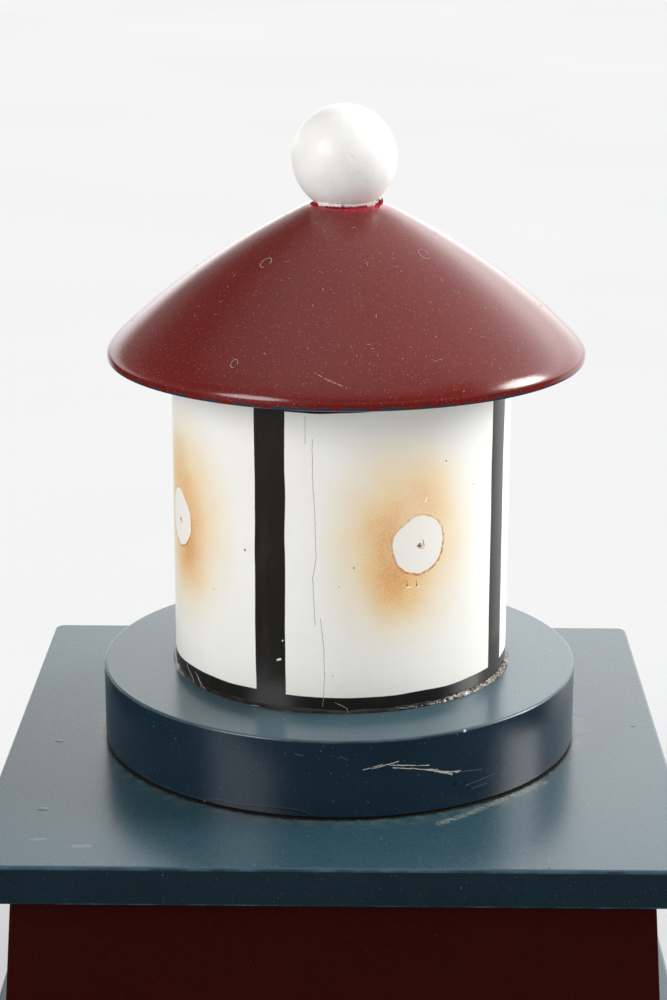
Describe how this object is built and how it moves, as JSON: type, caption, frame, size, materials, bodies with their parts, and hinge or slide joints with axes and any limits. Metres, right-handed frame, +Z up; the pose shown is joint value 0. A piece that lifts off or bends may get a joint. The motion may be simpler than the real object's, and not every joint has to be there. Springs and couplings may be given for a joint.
{
  "type": "wooden model lighthouse",
  "caption": "Painted wooden model lighthouse: square base, tapered board tower, square gallery slab, round disc, lantern drum, turned conical roof and ball finial.",
  "frame": {"origin": "centre of the base slab's underside, on the surface that it stands on", "axes": "+Z up through the finial, -Y towards the front, +X to the right as seen from the front"},
  "size_m": [0.371, 0.371, 0.5051],
  "materials": {
    "ball_enamel": "turned wood in white satin enamel",
    "roof_paint": "turned wood in oxide red gloss paint, dusty, slate paint showing at the rim",
    "drum_paint": "turned wood in off-white satin paint with black bars and amber airbrushed patches",
    "slate_paint": "board in slate blue satin gloss paint, scratched and dusty",
    "tower_paint": "board brushed in oxide red paint",
    "base_paint": "board in grey-green satin paint",
    "bare_pine": "sawn, unpainted softwood",
    "screw_steel": "zinc-plated"
  },
  "bodies": {
    "root": {"finial_ball": "ball_enamel", "finial_dowel": "bare_pine", "roof_cone": "roof_paint", "roof_dowel": "bare_pine", "lantern_drum": "drum_paint", "drum_dowel": "bare_pine", "drum_screw_1": "screw_steel", "drum_screw_2": "screw_steel", "drum_screw_3": "screw_steel", "gallery_disc": "slate_paint", "disc_screw_1": "screw_steel", "disc_screw_2": "screw_steel", "disc_screw_3": "screw_steel", "disc_screw_4": "screw_steel", "gallery_slab": "slate_paint", "top_batten_left": "bare_pine", "top_batten_right": "bare_pine", "batten_screw_1": "screw_steel", "batten_screw_2": "screw_steel", "batten_screw_3": "screw_steel", "batten_screw_4": "screw_steel", "tower_board_front": "tower_paint", "tower_board_back": "tower_paint", "tower_board_left": "tower_paint", "tower_board_right": "tower_paint", "corner_block_1": "bare_pine", "corner_block_2": "bare_pine", "corner_block_3": "bare_pine", "corner_block_4": "bare_pine", "base_slab": "base_paint", "base_screw_1": "screw_steel", "base_screw_2": "screw_steel", "base_screw_3": "screw_steel", "base_screw_4": "screw_steel"}
  },
  "joints": []
}
